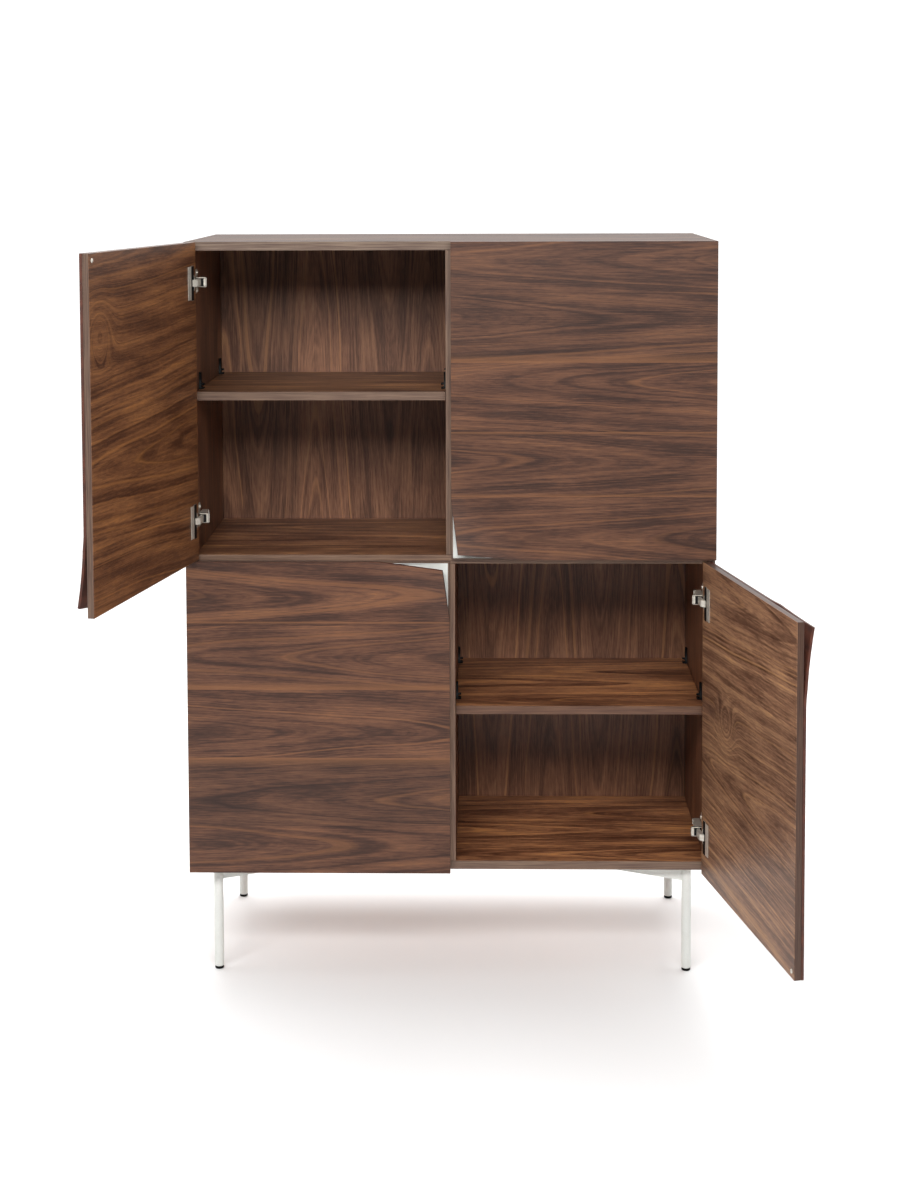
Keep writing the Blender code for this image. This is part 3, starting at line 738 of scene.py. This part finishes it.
def screw_head(shape, centre, axis, radius=0.0042, proud=0.0030, recess=True):
    """A pan-head screw with a cross recess, standing on a surface and facing along the axis."""
    stand = Matrix.Translation(centre) @ axis
    profile = [(0, -0.0004), (radius, -0.0004), (radius, 0.25 * proud), (0.8 * radius, 0.8 * proud)]
    profile += [(0.4 * radius, proud), (0, proud)]
    lathe(shape, profile, stand, 20)
    if not recess:
        return
    for quarter in (0, 1):
        turned = stand @ Matrix.Rotation(quarter * math.pi / 2, 4, "Z")
        bar = bmesh.ops.create_cube(shape, size=1.0)["verts"]
        bmesh.ops.scale(shape, vec=(1.1 * radius, 0.22 * radius, 0.0002), verts=bar)
        bmesh.ops.translate(shape, vec=(0, 0, proud + 0.00005), verts=bar)
        bmesh.ops.transform(shape, matrix=turned, verts=bar)
        for face in {f for v in bar for f in v.link_faces}:
            face.material_index = 1


def cup_shape():
    """A cup for a left door, its mouth at Y = 0 facing +Y and its flange plate at +X."""
    shape = bmesh.new()
    out = TO_Y @ Matrix.Rotation(math.pi, 4, "X")
    inner = CUP_RADIUS - CUP_WALL
    profile = [
        (0, -CUP_DEPTH),
        (CUP_RADIUS - 0.001, -CUP_DEPTH),
        (CUP_RADIUS, -CUP_DEPTH + 0.001),
        (CUP_RADIUS, 0.0002),
        (CUP_RADIUS + CUP_LIP, 0.0003),
        (CUP_RADIUS + CUP_LIP, 0.0007),
        (inner + 0.0006, 0.0008),
        (inner, 0.0005),
        (inner, -CUP_DEPTH + 0.003),
        (inner - 0.001, -CUP_DEPTH + 0.0015),
        (0, -CUP_DEPTH + CUP_WALL),
    ]
    lathe(shape, profile, out, 40)
    low = (FLANGE_FROM, 0.0003, -FLANGE_HALF_HEIGHT)
    block(shape, low, (FLANGE_TO, FLANGE_PROUD, FLANGE_HALF_HEIGHT), 0.0004)
    # A black block lies along the flange's hinge side, a little taller than the flange.
    black_strip_height = FLANGE_HALF_HEIGHT + 0.0015
    low = (-BLACK_STRIP_REACH, 0.0002, -black_strip_height)
    block(shape, low, (FLANGE_FROM - 0.0002, 0.0010, black_strip_height), 0.0003, 1)
    for z in (-CUP_SCREW_HEIGHT, CUP_SCREW_HEIGHT):
        screw_head(shape, (0.0125, FLANGE_PROUD, z), out, 0.0030, 0.0004, False)
    return shape


ARM_HALF_HEIGHT = 0.0072
PLATE_THICKNESS = 0.0024
PLATE_HALF_HEIGHT = 0.023
PLATE_SCREW_HEIGHT = 0.0165
PLATE_SCREW_DEPTH = 0.037


def arm_shape():
    """An arm on a left wall whose face is X = 0, with the carcass front at Y = 0."""
    shape = bmesh.new()
    half = ARM_HALF_HEIGHT
    # Mounting plate with its two wings and screws.
    low = (0.0003, 0.026, -PLATE_HALF_HEIGHT)
    block(shape, low, (PLATE_THICKNESS, 0.048, PLATE_HALF_HEIGHT), 0.0008)
    for z in (-PLATE_SCREW_HEIGHT, PLATE_SCREW_HEIGHT):
        screw_head(shape, (PLATE_THICKNESS, PLATE_SCREW_DEPTH, z), TO_X)
    # Arm: a folded channel, its nose under a black cap with the end of the hinge pin's bracket.
    profile = [(0.0035, 0.0595), (0.0035, 0.0060), (0.0222, 0.0055), (0.0222, 0.0100)]
    profile += [(0.0162, 0.040), (0.0157, 0.0595)]
    slab(shape, profile, -half, half, Z_AXIS)
    edges = [e for e in shape.edges if all(abs(abs(v.co.z) - half) < 1e-6 for v in e.verts)]
    bmesh.ops.bevel(shape, geom=edges, offset=0.0011, segments=2, affect="EDGES")
    block(shape, (0.0030, 0.0014, -0.0090), (0.0262, 0.0080, 0.0090), 0.0012, 1)
    block(shape, (0.0208, 0.0004, -0.0072), (0.0246, 0.0030, 0.0072), 0.0005)
    # Release catch behind, and the two adjusting screws.
    block(shape, (0.0040, 0.0590, -0.0060), (0.0175, 0.0640, 0.0060), 0.0010, 1)
    screw_head(shape, (0.0150, 0.047, 0.0), TO_X, 0.0036, 0.0012)
    screw_head(shape, (0.0190, 0.0215, 0.0), TO_X, 0.0036, 0.0014)
    return shape


LINK_HALF_HEIGHT = 0.0064


def link_shape():
    """The link of an opened left door, from its cup to the arm's nose. Carcass front is Y = 0."""
    shape = bmesh.new()
    half = LINK_HALF_HEIGHT
    outline = [(0.0028, -0.0310), (0.0058, -0.0345), (0.0135, -0.0285), (0.0158, -0.0200)]
    outline += [(0.0158, 0.0035), (0.0100, 0.0035), (0.0090, -0.0160), (0.0050, -0.0230)]
    slab(shape, outline, -half, half, Z_AXIS)
    edges = [e for e in shape.edges if all(abs(abs(v.co.z) - half) < 1e-6 for v in e.verts)]
    bmesh.ops.bevel(shape, geom=edges, offset=0.0008, segments=2, affect="EDGES")
    return shape


wall_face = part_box("side_right")[0].x
for door, pivot in pivots.items():
    sign = door_sign(door)
    low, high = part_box(f"door_panel_{door}")
    over = Matrix.Identity(4) if sign < 0 else TURN_OVER
    ends = {"bottom": low.z + HINGE_FROM_DOOR_END, "top": high.z - HINGE_FROM_DOOR_END}
    swing = Matrix.Translation((pivot.x, pivot.y, 0)) @ Matrix.Rotation(door_angle(door), 4, "Z")
    for end, height in ends.items():
        cup_at = (sign * (PIVOT_INSET - CUP_INSET), PIVOT_TO_INNER_FACE, height)
        cup_place = swing @ Matrix.Translation(cup_at) @ over
        cup = finished(f"cup_{door}_{end}", cup_shape(), cup_place, [nickel, black_nylon])
        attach(cup, f"door_{door}")
        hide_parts(f"hinge_cup_{door}_{end}")
        arm_place = Matrix.Translation((sign * wall_face, front, height)) @ over
        arm = finished(f"arm_{door}_{end}", arm_shape(), arm_place, [nickel, black_nylon])
        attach(arm, "carcass")
        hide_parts(f"hinge_arm_{door}_{end}")
        if door in OPEN_DOORS:
            link = finished(f"link_{door}_{end}", link_shape(), arm_place, [nickel, black_nylon])
            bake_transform(link)


# ---------------------------------------------------------------------------------------------
# Shelf supports. Black moulded plastic clips stand on the walls at each shelf's corners: a
# waisted post above the shelf, a foot on it and a short peg that points into the compartment.
# The plastic is dense black with little shine.

black_plastic, tree = new_material("black moulded plastic")
place = add(tree, "TexCoord", out="Object")
grain = add(tree, "TexNoise", {"Vector": place, "Scale": 900.0, "Detail": 2.0})
moulded = add(tree, "ValToRGB", {0: grain}, stops=[(0.3, "060606"), (0.7, "0c0c0c")])
surface(tree, moulded, 0.5, grain, 0.00005, {"Specular IOR Level": 0.2})

SUPPORT_HEIGHT = 0.032
SUPPORT_THICKNESS = 0.0046
SUPPORT_DEPTHS = {"front": 0.070, "rear": 0.345}


def support_shape():
    """A support on a wall whose face is X = 0, reaching to +X, with its foot at Z = 0."""
    shape = bmesh.new()
    halves = [(0.0080, 0.0), (0.0080, 0.003), (0.0060, 0.009), (0.0036, 0.016), (0.0034, 0.022)]
    halves += [(0.0046, 0.028), (0.0055, SUPPORT_HEIGHT)]
    outline = halves + [(-y, z) for y, z in reversed(halves)]
    face = SUPPORT_THICKNESS
    slab(shape, outline, 0.0003, face, X_AXIS)
    edges = [e for e in shape.edges if all(abs(v.co.x - face) < 1e-6 for v in e.verts)]
    bmesh.ops.bevel(shape, geom=edges, offset=0.0008, segments=2, affect="EDGES")
    block(shape, (0.0010, -0.0078, 0.0001), (0.0100, 0.0078, 0.0030), 0.0006)
    peg_at = Matrix.Translation((0.004, 0, 0.009)) @ TO_X
    peg = [(0, 0), (0.0022, 0), (0.0022, 0.0057), (0.0017, 0.0062), (0, 0.0062)]
    lathe(shape, peg, peg_at, 20)
    return shape


for level in ("upper", "lower"):
    for side, sign in (("left", -1), ("right", 1)):
        shelf_low, shelf_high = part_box(f"shelf_{level}_{side}")
        walls = {"outer": sign * wall_face, "inner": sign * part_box(f"divider_{level}")[1].x}
        for wall, x in walls.items():
            turn = 0 if x < (shelf_low.x + shelf_high.x) / 2 else math.pi
            for row, depth in SUPPORT_DEPTHS.items():
                spot = Matrix.Translation((x, front + depth, shelf_high.z + 0.0003))
                name = f"{level}_{side}_{wall}_{row}"
                piece = finished(f"shelf_clip_{name}", support_shape(),
                                 spot @ Matrix.Rotation(turn, 4, "Z"), [black_plastic])
                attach(piece, "carcass")
                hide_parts(f"support_{name}")


# ---------------------------------------------------------------------------------------------
# Door bumpers. A clear soft dome on each door's inner face, in the free corner away from the
# peel, lets it close quietly. It is glossy, and pale against the walnut.

bumper_resin, tree = new_material("clear polyurethane")
place = add(tree, "TexCoord", out="Object")
haze = add(tree, "TexNoise", {"Vector": place, "Scale": 500.0, "Detail": 2.0})
resin = add(tree, "ValToRGB", {0: haze}, stops=[(0.3, "b9b3a8"), (0.7, "cfcabf")])
surface(tree, resin, 0.2, haze, 0.00002)

BUMPER_INSET = 0.012
BUMPER_DOME = [(0, 0), (0.004, 0), (0.004, 0.0005), (0.0033, 0.0013), (0.0018, 0.0017), (0, 0.0018)]
for door, pivot in pivots.items():
    sign, level = door_sign(door), door.split("_")[0]
    low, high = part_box(f"door_panel_{door}")
    height = high.z - BUMPER_INSET if level == "upper" else low.z + BUMPER_INSET
    along = -sign * (DOOR_WIDTH - PIVOT_INSET - BUMPER_INSET)
    swing = Matrix.Translation((pivot.x, pivot.y, 0)) @ Matrix.Rotation(door_angle(door), 4, "Z")
    spot = swing @ Matrix.Translation((along, PIVOT_TO_INNER_FACE, height))
    shape = bmesh.new()
    lathe(shape, BUMPER_DOME, TO_Y @ Matrix.Rotation(math.pi, 4, "X"), 24)
    bumper = finished(f"bumper_{door}", shape, spot, [bumper_resin])
    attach(bumper, f"door_{door}")


# ---------------------------------------------------------------------------------------------
# Legs. A round steel tube is welded to a folded gusset bracket that is screwed under the
# carcass. All of it is powder-coated white, even and softly glossy with a very fine orange peel,
# and the tube stands on a black plastic glide.

powder_coat, tree = new_material("white powder coat")
place = add(tree, "TexCoord", out="Object")
peel = add(tree, "TexNoise", {"Vector": place, "Scale": 700.0, "Detail": 2.0})
coating = add(tree, "ValToRGB", {0: peel}, stops=[(0.3, "d6d7d2"), (0.7, "dfe0db")])
surface(tree, coating, 0.42, peel, 0.00006)

LEG_RADIUS = 0.009
GLIDE_HEIGHT = 0.005
BRACKET_LENGTH = 0.150
BRACKET_HALF_WIDTH = 0.015
GUSSET_DEPTH = 0.032
WELD_STEP = 0.0028
WELD_DROPS = 10
WELD_RADIUS = 0.0014
WELD_APART = 0.0048
WELD_LENGTH = 0.030


def bead_group():
    """The weld: two rows of overlapping drops, one on each side of a plate, up from Start."""
    tree = bpy.data.node_groups.new("weld bead", "GeometryNodeTree")
    kinds = {"Start": "Vector", "Apart": "Float", "Step": "Float", "Drops": "Int",
             "Radius": "Float", "Finish": "Material"}
    for name, kind in kinds.items():
        tree.interface.new_socket(name, in_out="INPUT", socket_type="NodeSocket" + kind)
    tree.interface.new_socket("Geometry", in_out="OUTPUT", socket_type="NodeSocketGeometry")
    given = tree.nodes.new("NodeGroupInput").outputs

    shape_node = {"family": "GeometryNode"}
    apart = add(tree, "CombineXYZ", {"Y": given["Apart"]})
    upward = add(tree, "CombineXYZ", {"Z": given["Step"]})
    both_sides = {"Count": 2, "Offset": apart, "Start Location": given["Start"]}
    feet = add(tree, "MeshLine", both_sides, **shape_node)
    row = add(tree, "MeshLine", {"Count": given["Drops"], "Offset": upward}, **shape_node)
    rows = add(tree, "InstanceOnPoints", {"Points": feet, "Instance": row}, **shape_node)
    points = add(tree, "RealizeInstances", {"Geometry": rows}, **shape_node)
    drop = add(tree, "MeshIcoSphere", {"Radius": given["Radius"]}, **shape_node)
    drops = add(tree, "InstanceOnPoints", {"Points": points, "Instance": drop}, **shape_node)
    solid = add(tree, "RealizeInstances", {"Geometry": drops}, **shape_node)
    coats = {"Geometry": solid, "Material": given["Finish"]}
    coated = add(tree, "SetMaterial", coats, **shape_node)
    result = tree.nodes.new("NodeGroupOutput")
    tree.links.new(coated, result.inputs["Geometry"])
    return tree


BEAD = bead_group()


def weld_beads(top):
    """The weld where the gusset meets the tube, as a plain mesh."""
    holder = bpy.data.objects.new("weld", bpy.data.meshes.new("weld"))
    bpy.context.scene.collection.objects.link(holder)
    bead = holder.modifiers.new("bead", "NODES")
    bead.node_group = BEAD
    sockets = {item.name: item.identifier for item in BEAD.interface.items_tree}
    bead[sockets["Start"]] = (LEG_RADIUS - 0.0002, -WELD_APART / 2, top - WELD_LENGTH)
    bead[sockets["Apart"]] = WELD_APART
    bead[sockets["Step"]] = WELD_STEP
    bead[sockets["Drops"]] = WELD_DROPS
    bead[sockets["Radius"]] = WELD_RADIUS
    bead[sockets["Finish"]] = powder_coat
    mesh = applied(holder).data
    bpy.data.objects.remove(holder)
    return mesh


def leg_shape(top):
    """A leg on the axis X = Y = 0, with its bracket to +X and its top under the carcass."""
    shape = bmesh.new()
    tube = [(0, GLIDE_HEIGHT + 0.0003), (LEG_RADIUS - 0.001, GLIDE_HEIGHT + 0.0003)]
    tube += [(LEG_RADIUS, GLIDE_HEIGHT + 0.0013), (LEG_RADIUS, top - 0.002), (0, top - 0.002)]
    lathe(shape, tube, Matrix.Identity(4), 48)
    half = BRACKET_HALF_WIDTH
    block(shape, (-half, -half, top - 0.003), (BRACKET_LENGTH, half, top), 0.0004)
    gusset_end = BRACKET_LENGTH - 0.003
    outline = [(0.004, top - 0.0015), (gusset_end, top - 0.0015), (gusset_end, top - 0.008)]
    outline += [(0.0, top - GUSSET_DEPTH)]
    slab(shape, outline, -0.002, 0.002, Y_AXIS)
    shape.from_mesh(weld_beads(top))
    return shape


for row in ("front", "rear"):
    for side, turn in (("left", 0.0), ("right", math.pi)):
        glide_low, glide_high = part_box(f"glide_{row}_{side}")
        leg_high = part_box(f"leg_{row}_{side}")[1]
        middle = (glide_low + glide_high) / 2
        spot = Matrix.Translation((middle.x, middle.y, 0))
        leg = finished(f"tube_leg_{row}_{side}", leg_shape(leg_high.z),
                       spot @ Matrix.Rotation(turn, 4, "Z"), [powder_coat])
        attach(leg, "carcass")
        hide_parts(f"leg_{row}_{side}")
        shape = bmesh.new()
        profile = [(0, 0), (0.0072, 0), (0.0085, 0.0012), (0.0085, 0.0042), (0.0080, GLIDE_HEIGHT)]
        lathe(shape, profile + [(0, GLIDE_HEIGHT)], Matrix.Identity(4), 40)
        foot = finished(f"foot_{row}_{side}", shape, spot, [black_plastic])
        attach(foot, "carcass")
        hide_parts(f"glide_{row}_{side}")


# ---------------------------------------------------------------------------------------------
# Studio. A plain white floor under a large overhead softbox, a wide softbox with a grid in front,
# and a white surround that gives its light from behind the unit.

FLOOR_RADIUS = 5.0
white_floor, tree = new_material("white studio floor")
place = add(tree, "TexCoord", out="Object")
scuffs = add(tree, "TexNoise", {"Vector": place, "Scale": 0.8, "Detail": 2.0})
paint = add(tree, "ValToRGB", {0: scuffs}, stops=[(0.3, "f4f4f4"), (0.7, "f8f8f8")])
surface(tree, paint, 0.9)
shape = bmesh.new()
bmesh.ops.create_circle(shape, cap_ends=True, segments=128, radius=FLOOR_RADIUS)
floor = finished("floor", shape, Matrix.Identity(4), [white_floor])

# Each softbox: where it hangs, what it faces, its width and depth, its spread and its power.
SOFTBOXES = {
    "over_and_behind": ((0.0, 2.6, 4.6), (0.0, 2.6, 0.0), (4.8, 4.8), 180.0, 230.0),
    "wide_key": ((-0.3, -2.7, 2.45), (0.0, 0.0, 0.75), (4.2, 0.9), 110.0, 56.0),
}
for name, (spot, aim, (width, depth), spread, power) in SOFTBOXES.items():
    light = bpy.data.lights.new(name, "AREA")
    light.shape = "RECTANGLE"
    light.size, light.size_y = width, depth
    light.spread = math.radians(spread)
    light.energy = power
    lamp = bpy.data.objects.new(name, light)
    bpy.context.scene.collection.objects.link(lamp)
    lamp.location = spot
    lamp.rotation_euler = (Vector(aim) - Vector(spot)).to_track_quat("-Z", "Y").to_euler()

FRONT_DIM = 0.03
BACK_BRIGHT = 1.2
world = bpy.data.worlds.new("white surround")
bpy.context.scene.world = world
world.use_nodes = True
tree = world.node_tree
direction = add(tree, "SeparateXYZ", {0: add(tree, "TexCoord", out="Generated")}).node.outputs
grading = {0: direction[Y_AXIS], 1: -0.45, 2: 0.15, 3: FRONT_DIM, 4: BACK_BRIGHT}
glow = add(tree, "MapRange", grading, **SMOOTH)
backdrop = add(tree, "LightPath", out="Is Camera Ray")
seen = add(tree, "Math", {0: glow, 1: backdrop}, operation="MAXIMUM")
tree.links.new(seen, tree.nodes["Background"].inputs["Strength"])
tree.nodes["Background"].inputs["Color"].default_value = (1.0, 1.0, 1.0, 1.0)

CAMERA_YAW, CAMERA_PITCH, CAMERA_ROLL = (math.radians(a) for a in (-1.1306, -3.9342, -0.1842))
camera_data = bpy.data.cameras.new("camera")
camera_data.sensor_width = 36.0
camera_data.lens = 58.04
camera_data.shift_y = -0.24695
camera_data.clip_end = 100.0
camera = bpy.data.objects.new("camera", camera_data)
bpy.context.scene.collection.objects.link(camera)
camera.location = (0.0719, front - 3.6202, 1.542)
forward = Vector((math.sin(CAMERA_YAW) * math.cos(CAMERA_PITCH),
                  math.cos(CAMERA_YAW) * math.cos(CAMERA_PITCH), math.sin(CAMERA_PITCH)))
level_right = Vector((math.cos(CAMERA_YAW), -math.sin(CAMERA_YAW), 0.0))
level_up = level_right.cross(forward)
right = level_right * math.cos(CAMERA_ROLL) + level_up * math.sin(CAMERA_ROLL)
up = level_up * math.cos(CAMERA_ROLL) - level_right * math.sin(CAMERA_ROLL)
camera.rotation_euler = Matrix((right, up, -forward)).transposed().to_euler()
bpy.context.scene.camera = camera
bpy.context.scene.view_settings.view_transform = "Standard"
